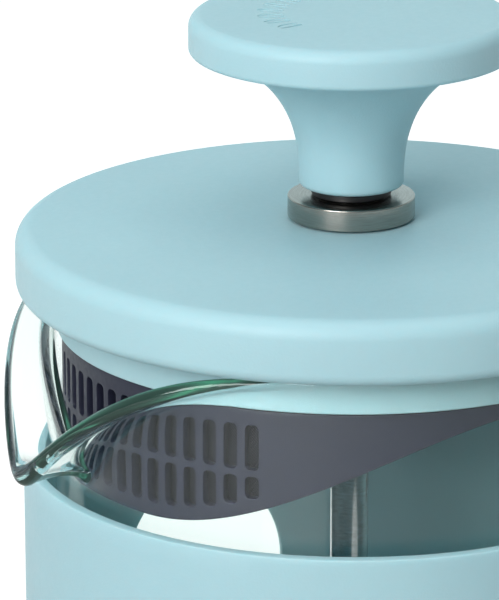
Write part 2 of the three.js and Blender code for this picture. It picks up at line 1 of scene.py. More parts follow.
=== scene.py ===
"""A one litre french press: glass beaker in a pale blue jacket, lid with strainer, and plunger.

Metres, in the frame of the CAD model: +Z up, spout along -X, handle along +X, origin under the beaker.
Each piece is a fine mesh made here round the levels and radii of its CAD node.
"""
from math import cos, degrees, pi, radians, sin, sqrt

import bmesh
import bpy
import numpy as np
from mathutils import Matrix, Vector


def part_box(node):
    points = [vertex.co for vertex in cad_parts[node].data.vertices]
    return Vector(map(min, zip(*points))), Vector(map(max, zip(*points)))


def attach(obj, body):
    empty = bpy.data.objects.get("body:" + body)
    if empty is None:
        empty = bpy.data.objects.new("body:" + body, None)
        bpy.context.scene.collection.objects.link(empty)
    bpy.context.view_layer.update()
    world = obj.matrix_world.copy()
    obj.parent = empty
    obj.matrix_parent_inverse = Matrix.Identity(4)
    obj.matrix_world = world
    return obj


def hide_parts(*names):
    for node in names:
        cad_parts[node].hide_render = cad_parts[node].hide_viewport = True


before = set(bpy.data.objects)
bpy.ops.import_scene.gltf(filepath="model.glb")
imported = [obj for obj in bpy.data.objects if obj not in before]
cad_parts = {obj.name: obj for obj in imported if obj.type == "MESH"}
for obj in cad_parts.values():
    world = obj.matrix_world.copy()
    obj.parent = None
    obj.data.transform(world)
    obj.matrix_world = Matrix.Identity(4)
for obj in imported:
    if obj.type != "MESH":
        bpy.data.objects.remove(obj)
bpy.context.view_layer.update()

MM = 0.001


# -------- measures read off the CAD nodes
def low(node):
    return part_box(node)[0].z


def high(node):
    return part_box(node)[1].z


def radius(node):
    """The radius of a round node about the axis, which its side along +Y reaches."""
    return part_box(node)[1].y


BIG, MEDIUM, SMALL = 256, 128, 48  # sides of a full turn
CREASE, SHELL_CREASE = 35, 50  # degrees; an edge that turns by more stays crisp
TINY = 1e-6  # a difference that doesn't count
GAP = 0.3 * MM  # between pieces that rest on each other
ROUND = 0.3 * MM  # the usual rounding of an edge
PAST = 1 * MM  # how far a cutter reaches past the face that it opens
CAMERA_AZIMUTH = radians(-32.9)

BASE_SCREWS = ("base_screw_1", "base_screw_2", "base_screw_3")
STRAINER_SCREWS = ("strainer_screw_1", "strainer_screw_2", "strainer_screw_3")
HANDLE_SCREWS = ("handle_screw_upper", "handle_screw_lower")
SCREW_HEAD_RADIUS, SCREW_HEAD, SCREW_SHANK = 2.7 * MM, 1.3 * MM, 1.4 * MM
HANDLE_HEAD_RADIUS, HANDLE_HEAD, HANDLE_SHANK = 3.6 * MM, 0.6 * MM, 1.8 * MM
SHANK_HOLE = SCREW_SHANK + GAP
SOCKET_WIDTH, SOCKET_DEPTH = 0.55, 0.7  # as shares of a screw head's radius and height
FLOOR_OPENING = 30 * MM
WEB_OPENING = 30 * MM
COLLAR_WALL = 2.2 * MM
PLATE_HOLE = 2.6 * MM

glass_wall = 1.9 * MM
glass_floor = 2.2 * MM
heel = 6 * MM
rim_bead = 1.0 * MM
jacket_wall = 1.8 * MM
guide_hole = 5.2 * MM
rod_bore = 3.3 * MM
thread_radius = 2.3 * MM
thread_hole = 2.6 * MM
lid_dome = 1.0 * MM

rod_radius = radius("plunger_rod")
beaker_radius = radius("glass_beaker")
beaker_foot = low("glass_beaker")
rim_top = high("glass_beaker")
jacket_radius = radius("jacket")
jacket_foot = low("jacket")
jacket_rim = high("jacket")
lid_radius = radius("lid_cover")
lid_under = low("lid_cover")
lid_top = high("lid_cover") - lid_dome
strainer_radius = radius("strainer")
strainer_top = low("lid_collar") - GAP
collar_plug = strainer_radius + 0.8 * MM
knob_radius = radius("knob")
knob_foot = low("knob")
knob_top = high("knob")


# -------- mesh helpers
def make_object(name, verts, faces, material, sharp=CREASE):
    """A mesh object with smooth faces, whose edges sharper than `sharp` degrees stay crisp."""
    mesh = bpy.data.meshes.new(name)
    mesh.from_pydata([tuple(v) for v in verts], [], faces)
    body = bmesh.new()
    body.from_mesh(mesh)
    bmesh.ops.remove_doubles(body, verts=body.verts, dist=TINY)
    bmesh.ops.recalc_face_normals(body, faces=body.faces)
    body.to_mesh(mesh)
    body.free()
    if material:
        mesh.materials.append(material)
    piece = bpy.data.objects.new(name, mesh)
    bpy.context.scene.collection.objects.link(piece)
    crisp(piece, sharp)
    return piece


def stand_for(piece, body, *nodes):
    """The piece rides on the body in place of these CAD nodes."""
    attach(piece, body)
    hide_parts(*nodes)


def apply_modifiers(piece):
    """Replaces the piece's mesh by the one that its modifiers make."""
    graph = bpy.context.evaluated_depsgraph_get()
    made = bpy.data.meshes.new_from_object(piece.evaluated_get(graph))
    piece.modifiers.clear()
    piece.data = made


def crisp(piece, sharp):
    """Smooth shading, but for edges sharper than this many degrees."""
    piece.data.shade_smooth()
    piece.data.set_sharp_from_angle(angle=radians(sharp))


def carved(piece, cutters, operation="DIFFERENCE"):
    """The piece after the cutters have been taken from it, or what it shares with them."""
    cut = piece.modifiers.new("cut", "BOOLEAN")
    cut.solver = "EXACT"
    cut.operation = operation
    cutter = joined(*cutters)
    cut.object = cutter
    apply_modifiers(piece)
    bpy.data.objects.remove(cutter)
    crisp(piece, CREASE)
    return piece


def soften(corners, closed, steps=5):
    """An outline with its corners rounded. A corner is (radius, height) or (radius, height, fillet)."""
    points = []
    count = len(corners)
    for i, corner in enumerate(corners):
        here = Vector(corner[:2])
        fillet = corner[2] if len(corner) > 2 else 0
        if not fillet or (not closed and i in (0, count - 1)):
            points.append(tuple(here))
            continue
        before = Vector(corners[i - 1][:2]) - here
        after = Vector(corners[(i + 1) % count][:2]) - here
        half_turn = before.angle(after) / 2
        back = fillet / np.tan(half_turn)
        start = here + before.normalized() * back
        end = here + after.normalized() * back
        inwards = (before.normalized() + after.normalized()).normalized()
        middle = here + inwards * (fillet / sin(half_turn))
        first = start - middle
        sweep = first.angle_signed(end - middle)
        for k in range(steps + 1):
            spoke = first.copy()
            spoke.rotate(Matrix.Rotation(-sweep * k / steps, 2))
            points.append(tuple(middle + spoke))
    return points


def turn_faces(count, sides, closed):
    """Quads between the copies of an outline with `count` points, `sides` copies round the axis."""
    faces = []
    for j in range(sides):
        here, there = j * count, ((j + 1) % sides) * count
        for i in range(count if closed else count - 1):
            k = (i + 1) % count
            faces.append((here + i, there + i, there + k, here + k))
    return faces


def turned(name, corners, material, sides=BIG, closed=False):
    """A figure of revolution about Z from an outline in metres."""
    outline = soften(corners, closed)
    verts = []
    for j in range(sides):
        a = 2 * pi * j / sides
        verts += [(r * cos(a), r * sin(a), z) for r, z in outline]
    return make_object(name, verts, turn_faces(len(outline), sides, closed), material)


def prism(outline, bottom, top):
    """The corners and the faces of an upright prism on a flat outline."""
    count = len(outline)
    verts = [(x, y, z) for z in (bottom, top) for x, y in outline]
    sides = [(k, (k + 1) % count, count + (k + 1) % count, count + k) for k in range(count)]
    return verts, [tuple(range(count)), tuple(range(count, 2 * count))] + sides


def make_sleeve(node, inner, roundings, material, sides=MEDIUM):
    """A plain ring the size of its node. The roundings, in mm, go round it from its inner foot."""
    edge, bottom, top = radius(node), low(node), high(node)
    corners = ((inner, bottom), (edge, bottom), (edge, top), (inner, top))
    outline = [(r, z, rounding * MM) for (r, z), rounding in zip(corners, roundings)]
    return turned(node + "_fine", outline, material, sides, True)


def joined(first, *others):
    """One object from several, which keeps the first one's name."""
    body = bmesh.new()
    for piece in (first, *others):
        body.from_mesh(piece.data)
    body.to_mesh(first.data)
    body.free()
    for piece in others:
        bpy.data.objects.remove(piece)
    return first


def pin(pin_radius, x, y, bottom, top):
    """An upright round cutter."""
    cutter = turned("pin", [(0, bottom), (pin_radius, bottom), (pin_radius, top), (0, top)], None, SMALL)
    cutter.data.transform(Matrix.Translation((x, y, 0)))
    return cutter


def pin_at(node, pin_radius, bottom, top):
    """An upright round cutter on the axis of an upright node."""
    least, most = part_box(node)
    return pin(pin_radius, (least.x + most.x) / 2, (least.y + most.y) / 2, bottom, top)


def laid_along_x(x, z):
    """The matrix that lays an upright piece along X, its foot moved to this x and this height."""
    return Matrix.Translation((x, 0, z)) @ Matrix.Rotation(pi / 2, 4, "Y")


def pin_along(node, pin_radius, from_x, to_x):
    """A round cutter along X on the axis of a node that lies along X."""
    least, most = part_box(node)
    cutter = pin(pin_radius, 0, 0, from_x, to_x)
    cutter.data.transform(laid_along_x(0, (least.z + most.z) / 2))
    return cutter


# -------- materials
def linear(red, green, blue):
    """A colour as Blender takes it, from its sRGB values of 0 to 255."""
    return tuple(((c / 255 + 0.055) / 1.055) ** 2.4 if c > 10 else c / 255 / 12.92
                 for c in (red, green, blue)) + (1,)


RANGE_SOCKETS = ("From Min", "From Max", "To Min", "To Max")


class Nodes:
    """A material's node tree, with short calls to add nodes and links."""

    def __init__(self, name):
        self.material = bpy.data.materials.new(name)
        self.material.use_nodes = True
        self.tree = self.material.node_tree
        self.tree.nodes.clear()
        self.output = self.add("ShaderNodeOutputMaterial")
        self.shader = self.add("ShaderNodeBsdfPrincipled")
        self.link(self.shader.outputs[0], self.output.inputs["Surface"])
        self.place = self.add("ShaderNodeTexCoord").outputs["Object"]

    def add(self, kind, **settings):
        node = self.tree.nodes.new(kind)
        for key, value in settings.items():
            setattr(node, key, value)
        return node

    def link(self, source, target):
        self.tree.links.new(source, target)

    def set(self, **values):
        """Constant values on the shader's own sockets."""
        for key, value in values.items():
            self.shader.inputs[key.replace("_", " ")].default_value = value

    def noise(self, scale, detail=2.0, place=None, roughness=0.5):
        node = self.add("ShaderNodeTexNoise")
        node.inputs["Scale"].default_value = scale
        node.inputs["Detail"].default_value = detail
        node.inputs["Roughness"].default_value = roughness
        self.link(place or self.place, node.inputs["Vector"])
        return node.outputs["Fac"]

    def spread(self, value, to_low, to_high, from_low=0.3, from_high=0.7, ease="LINEAR"):
        """A value's range, a noise's usual one unless given, spread over another."""
        node = self.add("ShaderNodeMapRange", interpolation_type=ease)
        for key, number in zip(RANGE_SOCKETS, (from_low, from_high, to_low, to_high)):
            node.inputs[key].default_value = number
        self.link(value, node.inputs["Value"])
        return node.outputs["Result"]

    def blend(self, value, one, two):
        """A colour between two, at this share of the way."""
        node = self.add("ShaderNodeMix", data_type="RGBA")
        node.inputs[6].default_value = one
        node.inputs[7].default_value = two
        self.link(value, node.inputs[0])
        return node.outputs[2]

    def math(self, operation, one, two=None):
        node = self.add("ShaderNodeMath", operation=operation)
        for socket, value in zip(node.inputs, (one, two)):
            if value is None:
                continue
            if isinstance(value, (int, float)):
                socket.default_value = value
            else:
                self.link(value, socket)
        return node.outputs[0]

    def bump(self, height, distance, strength=1.0, normal=None):
        node = self.add("ShaderNodeBump")
        node.inputs["Distance"].default_value = distance
        node.inputs["Strength"].default_value = strength
        self.link(height, node.inputs["Height"])
        if normal:
            self.link(normal, node.inputs["Normal"])
        return node.outputs["Normal"]

    def dress(self, colour, roughness, normal):
        """Links what varies over the surface to the shader."""
        for source, socket in ((colour, "Base Color"), (roughness, "Roughness"), (normal, "Normal")):
            self.link(source, self.shader.inputs[socket])

    def weave(self, place, first, second, pitch, fuzz_scale, fuzz):
        """The height of threads that cross: waves along two of a place's coordinates, and some fuzz."""
        parts = self.add("ShaderNodeSeparateXYZ")
        self.link(place, parts.inputs[0])
        waves = [self.math("SINE", self.math("MULTIPLY", parts.outputs[k], 2 * pi / pitch))
                 for k in (first, second)]
        return self.math("ADD", self.math("MULTIPLY", *waves),
                         self.math("MULTIPLY", self.noise(fuzz_scale, 2), fuzz))

    def round_place(self, along=1.0):
        """Coordinates that run round the axis: distance from it, the angle times `along`, and height."""
        parts = self.add("ShaderNodeSeparateXYZ")
        self.link(self.place, parts.inputs[0])
        x, y, z = parts.outputs
        squares = self.math("ADD", self.math("MULTIPLY", x, x), self.math("MULTIPLY", y, y))
        away = self.math("SQRT", squares)
        angle = self.math("MULTIPLY", self.math("ARCTAN2", y, x), along)
        whole = self.add("ShaderNodeCombineXYZ")
        for value, socket in zip((away, angle, z), whole.inputs):
            self.link(value, socket)
        return whole.outputs[0]


def moulding(name, light, dark, rough, grain, depth, specular=0.5, glow=0.0):
    """A moulded plastic: a fine spark-eroded grain, and a faint change of shade and gloss over it.

    `grain` is the grain's scale, `depth` its height in metres, and `glow` the share of light let in.
    """
    n = Nodes(name)
    shade = n.spread(n.noise(28, 3), 0, 1)
    fine = n.bump(n.noise(grain, 2.5, roughness=0.6), depth)
    n.dress(n.blend(shade, linear(*light), linear(*dark)),
            n.spread(n.noise(grain * 0.35, 2), rough - 0.05, rough + 0.05),
            n.bump(n.noise(160, 1), depth * 1.5, 0.5, fine))
    n.set(Specular_IOR_Level=specular, Subsurface_Weight=glow, Subsurface_Radius=(0.4, 0.9, 1.0),
          Subsurface_Scale=4 * MM)
    return n.material


def clear_glass():
    """Borosilicate glass: a hair of ripple from its drawing, and green where it is seen through its depth,
    partly from absorption and partly from a painted green glow inside it.
    """
    n = Nodes("clear_glass")
    n.set(Transmission_Weight=1.0, IOR=1.47)
    n.dress(n.blend(n.spread(n.noise(20, 2), 0, 1), (0.985, 1, 0.995, 1), (0.975, 0.998, 0.99, 1)),
            n.spread(n.noise(60, 2), 0.0, 0.012),
            n.bump(n.noise(25, 1), 0.02 * MM, 0.6))
    path = n.add("ShaderNodeLightPath")
    open_glass = n.add("ShaderNodeBsdfTransparent")  # as a ray towards a light meets it
    open_glass.inputs["Color"].default_value = (0.96, 0.97, 0.975, 1)
    mix = n.add("ShaderNodeMixShader")
    n.link(path.outputs["Is Shadow Ray"], mix.inputs[0])
    n.link(n.shader.outputs[0], mix.inputs[1])
    n.link(open_glass.outputs[0], mix.inputs[2])
    n.link(mix.outputs[0], n.output.inputs["Surface"])
    depth = n.add("ShaderNodeVolumeAbsorption")
    depth.inputs["Color"].default_value = (0.35, 0.85, 0.70, 1)
    depth.inputs["Density"].default_value = 24
    painted_green_glow = n.add("ShaderNodeEmission")  # painted glow: the glass shines green by itself, in place of light that bounces along inside it
    painted_green_glow.inputs["Color"].default_value = (0.26, 0.5, 0.42, 1)
    painted_green_glow.inputs["Strength"].default_value = 4
    body = n.add("ShaderNodeAddShader")
    n.link(depth.outputs[0], body.inputs[0])
    n.link(painted_green_glow.outputs[0], body.inputs[1])
    n.link(body.outputs[0], n.output.inputs["Volume"])
    return n.material


def steel(name, colour, rough, streak, lines=5200):
    """Bare metal with turning or brushing lines, `streak` metres deep, that run round the axis, with shade
    painted along them.
    """
    n = Nodes(name)
    n.set(Metallic=1.0)
    place = n.round_place(0.0006)  # so small that the noise hardly changes along the angle
    lines_height = n.noise(lines, 3, place, 0.65)
    # painted shade: the colour darkens by up to 14% along the turning lines, in place of shade in their
    # grooves
    painted_groove_shade = linear(*[c * 0.86 for c in colour])
    n.dress(n.blend(n.spread(lines_height, 0, 1), linear(*colour), painted_groove_shade),
            n.spread(n.noise(lines * 0.14, 2, place), rough - 0.06, rough + 0.08),
            n.bump(lines_height, streak))
    return n.material


def woven_steel():
    """Fine wire cloth: two sets of wires that go over and under each other, with painted shade in the hollows
    of the weave and painted highlights on its raised wires.
    """
    n = Nodes("woven_steel")
    n.set(Metallic=1.0)
    cloth = n.weave(n.place, 0, 1, 0.9 * MM, 900, 0.4)
    # painted shade and highlight: the colour runs from dark in the hollows of the weave to light on its
    # raised wires
    n.dress(n.blend(n.spread(cloth, 0, 1, -1, 1), linear(120, 118, 114), linear(214, 212, 208)),
            n.spread(n.noise(300, 2), 0.28, 0.42),
            n.bump(cloth, 0.12 * MM))
    return n.material


def woven_nylon():
    """A fine dark cloth of nylon threads, with painted shade in the hollows of the weave. Its dark grey is
    its own; its blue cast is painted, in place of the bluish reflection in the glass before it.
    """
    n = Nodes("dark_nylon_mesh")
    cloth = n.weave(n.round_place(strainer_radius), 1, 2, 0.45 * MM, 1500, 0.5)
    # painted shade: darker in the hollows of the weave; the blue in both colours is a painted reflection tint
    n.dress(n.blend(n.spread(cloth, 0, 1, -1, 1.4), linear(7, 7, 16), linear(22, 22, 38)),
            n.spread(n.noise(400, 2), 0.5, 0.66),
            n.bump(cloth, 0.1 * MM))
    return n.material


def rubber():
    """Grey silicone with a dull, slightly uneven face."""
    n = Nodes("grey_silicone")
    n.dress(n.blend(n.spread(n.noise(120, 3), 0, 1), linear(88, 93, 97), linear(76, 81, 85)),
            n.spread(n.noise(700, 2), 0.6, 0.78),
            n.bump(n.noise(2200, 2), 0.03 * MM))
    return n.material


blue = moulding("pale_blue_plastic", (164, 198, 205), (160, 194, 202), 0.5, 2600, 0.03 * MM, 0.42, 0.3)
# charcoal: the dark grey is its own colour; its blue cast is painted, in place of the bluish reflection in
# the glass in front of the strainer
charcoal = moulding("charcoal_plastic", (32, 34, 53), (28, 29, 47), 0.46, 3200, 0.01 * MM)
black = moulding("black_plastic", (30, 31, 34), (24, 25, 28), 0.42, 3000, 0.015 * MM)
glass = clear_glass()
brushed = steel("brushed_steel", (172, 166, 158), 0.2, 0.02 * MM)
polished = steel("polished_steel", (206, 208, 210), 0.13, 0.004 * MM, 3000)
brass = steel("brass", (196, 160, 88), 0.28, 0.01 * MM)
woven = woven_steel()
nylon = woven_nylon()
silicone = rubber()


# -------- glass beaker
# How the spout grows less sideways: the degrees from its middle at which it ends, and the power.
REACH_FALL, DROP_FALL, ROOT_FALL, SWELL_FALL = (45, 1.4), (51, 3.25), (45, 1.3), (34, 0.7)
SPOUT_REACH = 11.65 * MM  # outwards
SPOUT_DROP = 19.4 * MM  # from the rim down to the lip
SPOUT_ROOT = 23 * MM  # from the rim down to where the wall starts to lean out
BEND_RISE, BEND_LEAN = 0.75, 0.1  # how high and how straight the flare starts
TIP_ROUND = 2.2  # degrees over which the tip is blunt
LIP_SWELL = 0.9  # how much thicker the lip is than the wall, as a share of it
SWELL_START = 0.3  # the share of the way up the wall at which it starts to thicken
BEAKER_SIDES = 360
CROWDING = 0.45  # how much closer the sides lie together at the spout


def fall_off(angle, half, power):
    """1 at the spout's middle, down to 0 at `half` degrees from it."""
    rounded = sqrt(angle * angle + TIP_ROUND * TIP_ROUND) - TIP_ROUND
    return max(0.0, 1 - rounded / half) ** power


def wall_line(angle, rim_middle, foot_z, steps=60):
    """The middle line of the glass wall at an angle from the spout: straight up, then out to the lip."""
    middle = beaker_radius - glass_wall / 2
    lip = Vector((middle + SPOUT_REACH * fall_off(angle, *REACH_FALL),
                  rim_middle - SPOUT_DROP * fall_off(angle, *DROP_FALL)))
    root_z = min(lip.y - MM, rim_middle - SPOUT_ROOT * fall_off(angle, *ROOT_FALL))
    root = Vector((middle, max(root_z, foot_z)))
    bend = Vector((middle, root_z + BEND_RISE * (lip.y - root_z) + BEND_LEAN * (lip.x - middle)))
    t = np.linspace(0, 1, steps)[:, None]
    flare = (1 - t) ** 2 * np.array(root) + 2 * t * (1 - t) * np.array(bend) + t * t * np.array(lip)
    rise = np.array((middle, foot_z)) * (1 - t[:-1]) + np.array(root) * t[:-1]
    return np.vstack((rise, flare))


def make_beaker():
    """The glass: a straight wall on a rounded foot, bent out and thickened at the spout."""
    rim_middle = rim_top - rim_bead
    foot_z = rim_middle - SPOUT_ROOT - 2 * MM
    floor_top = beaker_foot + glass_floor
    inside = beaker_radius - glass_wall
    middle = beaker_radius - glass_wall / 2
    levels = np.linspace(foot_z, rim_middle, 40)[:-1]
    bead = [(middle + rim_bead * cos(a), rim_middle + rim_bead * sin(a)) for a in np.linspace(0, pi, 13)]
    outer = [(0, beaker_foot), (beaker_radius, beaker_foot, heel), (beaker_radius, foot_z)]
    inner = [(inside, foot_z), (inside, floor_top, heel - glass_wall), (0, floor_top)]
    outline = (soften(outer, False, 10)[:-1] + [(beaker_radius, z) for z in levels] + bead
               + [(inside, z) for z in levels[::-1]] + soften(inner, False, 10)[1:])
    verts = []
    for j in range(BEAKER_SIDES):
        even = 2 * pi * j / BEAKER_SIDES - pi
        turn = even - CROWDING * sin(even)
        line = wall_line(degrees(turn), rim_middle, foot_z)
        steps = np.hypot(*np.diff(line, axis=0).T)
        run = np.concatenate(([0], np.cumsum(steps)))
        share = run / run[-1]
        apart = run + np.arange(len(run)) * 1e-12  # no two of them alike
        heading = np.gradient(line, apart, axis=0)
        heading /= np.hypot(*heading.T)[:, None]
        for r, z in outline:
            if z > foot_z + TINY:
                s = (z - foot_z) / (rim_middle - foot_z)
                at = Vector([np.interp(min(s, 1), share, line[:, k]) for k in (0, 1)])
                along = Vector([np.interp(min(s, 1), share, heading[:, k]) for k in (0, 1)]).normalized()
                ramp = min(max((s - SWELL_START) / (1 - SWELL_START), 0), 1)
                swell = LIP_SWELL * fall_off(degrees(turn), *SWELL_FALL) * ramp * ramp
                at += along * (max(z - rim_middle, 0) * (1 + swell) - rim_bead * swell)
                off = (r - middle) * (1 + swell)
                r, z = at.x + off * along.y, at.y - off * along.x
            verts.append((-r * cos(turn), -r * sin(turn), z))
    faces = turn_faces(len(outline), BEAKER_SIDES, False)
    return make_object("glass_beaker_fine", verts, faces, glass, 60)


stand_for(make_beaker(), "beaker", "glass_beaker")


# -------- round walls with openings
def wall_mesh(shell_radius):
    """A sheet on a cylinder, gathered from patches of (arc length from the spout's side, height)."""
    return {"radius": shell_radius, "verts": [], "faces": []}


def add_patch(sheet, rows):
    """Adds a grid of points, given as rows of (s, z)."""
    start = len(sheet["verts"])
    width = len(rows[0])
    for row in rows:
        for s, z in row:
            a = s / sheet["radius"]
            sheet["verts"].append((-sheet["radius"] * cos(a), -sheet["radius"] * sin(a), z))
    for i in range(len(rows) - 1):
        for k in range(width - 1):
            a = start + i * width + k
            sheet["faces"].append((a, a + 1, a + width + 1, a + width))


def add_window(sheet, border, centre_s, half, corner, bottom, top, rings):
    """Adds the wall between a border of (s, z) points and the rounded opening inside it.

    It is made of rings of faces, which lie closer together near the opening.
    """
    flat = half - corner
    loops = [[] for _ in range(rings + 1)]
    for s, z in border + border[:1]:
        core = Vector((min(max(s, centre_s - flat), centre_s + flat),
                       min(max(z, bottom + corner), top - corner)))
        out = Vector((s, z))
        edge = core + (out - core).normalized() * corner
        for k, loop in enumerate(loops):
            loop.append(tuple(edge.lerp(out, (k / rings) ** 1.3)))
    add_patch(sheet, loops)


def shell_from(name, sheet, material, thickness, bevel, segments=3):
    """The sheet made into a wall, inwards from its face, with rounded edges."""
    piece = make_object(name, sheet["verts"], sheet["faces"], material)
    first = piece.data.polygons[0]
    if first.normal.x * first.center.x + first.normal.y * first.center.y < 0:
        piece.data.flip_normals()
    wall = piece.modifiers.new("wall", "SOLIDIFY")
    wall.thickness = thickness
    wall.offset = -1
    wall.use_even_offset = True
    edge = piece.modifiers.new("edge", "BEVEL")
    edge.width = bevel
    edge.segments = segments
    edge.limit_method = "ANGLE"
    edge.angle_limit = radians(SHELL_CREASE)
    apply_modifiers(piece)
    crisp(piece, SHELL_CREASE)
    return piece


# -------- base
def make_foot_pad():
    """A disc that stands on a raised rim, with three round grooves in its underside."""
    edge, top = radius("foot_pad"), high("foot_pad")
    rim_width, face = 3 * MM, 0.3 * MM
    groove_half, groove_top = 1.2 * MM, 1.2 * MM
    outline = [(0, face)]
    for share in (0.25, 0.5, 0.75):
        inner, outer = share * edge - groove_half, share * edge + groove_half
        outline += [(inner, face, ROUND), (inner, groove_top, ROUND), (outer, groove_top, ROUND),
                    (outer, face, ROUND)]
    outline += [(edge - rim_width, face, 0.2 * MM), (edge - rim_width, 0), (edge, 0, 0.6 * MM),
                (edge, top, 0.4 * MM), (0, top)]
    return turned("foot_pad_fine", outline, silicone)


def make_base_cover():
    """A disc with a recess for the foot pad and holes for the screws and their heads."""
    edge, bottom, top = radius("base_cover"), low("base_cover"), high("base_cover")
    recess = radius("foot_pad") + GAP
    ceiling = high("foot_pad") + GAP
    disc = turned("base_cover_fine", [
        (0, ceiling), (recess, ceiling, ROUND), (recess, bottom, 0.4 * MM),
        (edge, bottom, 0.8 * MM), (edge, top, ROUND), (0, top)], charcoal)
    cutters = []
    for screw in BASE_SCREWS:
        head_top = low(screw) + SCREW_HEAD + GAP
        cutters += [pin_at(screw, SCREW_HEAD_RADIUS + GAP, bottom - PAST, head_top),
                    pin_at(screw, SHANK_HOLE, ceiling, top + PAST)]
    return carved(disc, cutters)


def make_cushion():
    """A shallow dish with a hole in its floor, in which the glass stands."""
    edge, bottom, rim = radius("beaker_cushion"), low("beaker_cushion"), high("beaker_cushion")
    seat = beaker_foot - GAP
    wall = 0.8 * MM
    return turned("beaker_cushion_fine", [
        (FLOOR_OPENING, bottom, ROUND), (edge, bottom, ROUND), (edge, rim, ROUND),
        (edge - wall, rim, ROUND), (edge - wall, seat), (FLOOR_OPENING, seat, 0.5 * MM)], silicone, BIG, True)


stand_for(make_foot_pad(), "jacket", "foot_pad")
stand_for(make_base_cover(), "jacket", "base_cover")
stand_for(make_cushion(), "jacket", "beaker_cushion")


# -------- jacket with a window on each side
WINDOW_WIDTH = 34.2 * MM
WINDOW_TOP_DROP = 36.5 * MM  # from the jacket's rim to the centre of the window's round top
WINDOW_BOTTOM_RISE = 44 * MM  # from its foot to the centre of the round bottom


def make_jacket():
    """The wall with its two windows, and the ring inside its foot on which the cushion lies."""
    sheet = wall_mesh(jacket_radius)
    half = WINDOW_WIDTH / 2
    quarter = jacket_radius * pi / 2
    reach = jacket_radius * radians(50)  # the patch round a window, either side of its middle
    levels = list(np.linspace(jacket_foot, jacket_rim, 49))
    for middle in (quarter, -quarter):
        left, right = middle - reach, middle + reach
        across = list(np.linspace(left, right, 41))
        border = ([(s, levels[0]) for s in across[:-1]] + [(right, z) for z in levels[:-1]]
                  + [(s, levels[-1]) for s in across[:0:-1]] + [(left, z) for z in levels[:0:-1]])
        add_window(sheet, border, middle, half, half, jacket_foot + WINDOW_BOTTOM_RISE - half,
                   jacket_rim - WINDOW_TOP_DROP + half, 30)
    for start in (reach - quarter, reach + quarter):
        across = np.linspace(start, start + 2 * (quarter - reach), 60)
        add_patch(sheet, [[(s, z) for s in across] for z in levels])
    shell = shell_from("jacket_fine", sheet, blue, jacket_wall, 0.7 * MM)
    carved(shell, [pin_along(s, HANDLE_SHANK + GAP, jacket_radius - jacket_wall - PAST, jacket_radius + PAST)
                   for s in HANDLE_SCREWS])
    inside = jacket_radius - jacket_wall + 0.2 * MM  # a little inside the wall
    bottom, top = high("base_cover") + GAP, low("beaker_cushion") - GAP
    floor = turned("jacket_floor", [(FLOOR_OPENING, bottom, 0.4 * MM), (inside, bottom), (inside, top),
                                    (FLOOR_OPENING, top, 0.4 * MM)], blue, BIG, True)
    carved(floor, [pin_at(s, SHANK_HOLE, bottom - PAST, high(s) + GAP) for s in BASE_SCREWS])
    return joined(shell, floor)


stand_for(make_jacket(), "jacket", "jacket")


# -------- handle
def make_handle():
    """A rounded bar, out from the jacket, up and back, whose ends follow the jacket's face."""
    least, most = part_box("handle")
    thick, bend = 10 * MM, 24 * MM
    radius_mid = bend - thick / 2
    centre_x = most.x - bend
    lower, upper = least.z + bend, most.z - bend

    def quarter_turn(centre_z, first):
        """Points (x, z, heading) of the path round a bend, after its first."""
        return [(centre_x + radius_mid * sin(a), centre_z - radius_mid * cos(a), a)
                for a in np.linspace(first, first + pi / 2, 20)[1:]]

    path = [(x, least.z + thick / 2, 0) for x in np.linspace(jacket_radius, centre_x, 12)]
    path += quarter_turn(lower, 0)
    path += [(most.x - thick / 2, z, pi / 2) for z in np.linspace(lower, upper, 16)[1:]]
    path += quarter_turn(upper, pi / 2)
    path += [(x, most.z - thick / 2, pi) for x in np.linspace(centre_x, jacket_radius, 12)[1:]]
    half, corner = thick / 2, 3.4 * MM
    section = soften([(half, -most.y, corner), (half, most.y, corner), (-half, most.y, corner),
                      (-half, -most.y, corner)], True)
    against = jacket_radius + GAP
    verts, faces = [], []
    for i, (x, z, heading) in enumerate(path):
        for u, y in section:
            at_end = i in (0, len(path) - 1)
            here_x = sqrt(against ** 2 - y ** 2) if at_end else max(x + u * sin(heading), against)
            verts.append((here_x, y, z - u * cos(heading)))
    count = len(section)
    for i in range(len(path) - 1):
        for k in range(count):
            m = (k + 1) % count
            faces.append((i * count + k, i * count + m, (i + 1) * count + m, (i + 1) * count + k))
    faces.append(tuple(range(count)))
    faces.append(tuple((len(path) - 1) * count + k for k in range(count)))
    handle = make_object("handle_fine", verts, faces, blue, 40)
    return carved(handle, [pin_along(s, HANDLE_SHANK + GAP, jacket_radius - PAST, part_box(s)[1].x + GAP)
                           for s in HANDLE_SCREWS])


stand_for(make_handle(), "jacket", "handle")


# -------- screws
def make_screw(node, head_radius, head_height, shank_radius, along_x=False):
    """A pan-headed screw with a hexagon socket, its head at the node's low end."""
    least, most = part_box(node)
    length = most.x - least.x if along_x else most.z - least.z
    screw = turned(node + "_fine", [
        (0, 0), (head_radius, 0, 0.25 * MM), (head_radius, head_height, 0.1 * MM),
        (shank_radius, head_height), (shank_radius, length - shank_radius), (0, length)], polished, SMALL)
    key, depth = SOCKET_WIDTH * head_radius, SOCKET_DEPTH * head_height
    socket = turned("socket", [(0, -PAST), (key, -PAST), (key, depth), (0, depth)], polished, 6)
    carved(screw, [socket])
    if along_x:
        place = laid_along_x(least.x, (least.z + most.z) / 2)
    else:
        place = Matrix.Translation(((least.x + most.x) / 2, (least.y + most.y) / 2, least.z))
    screw.data.transform(place)
    return screw


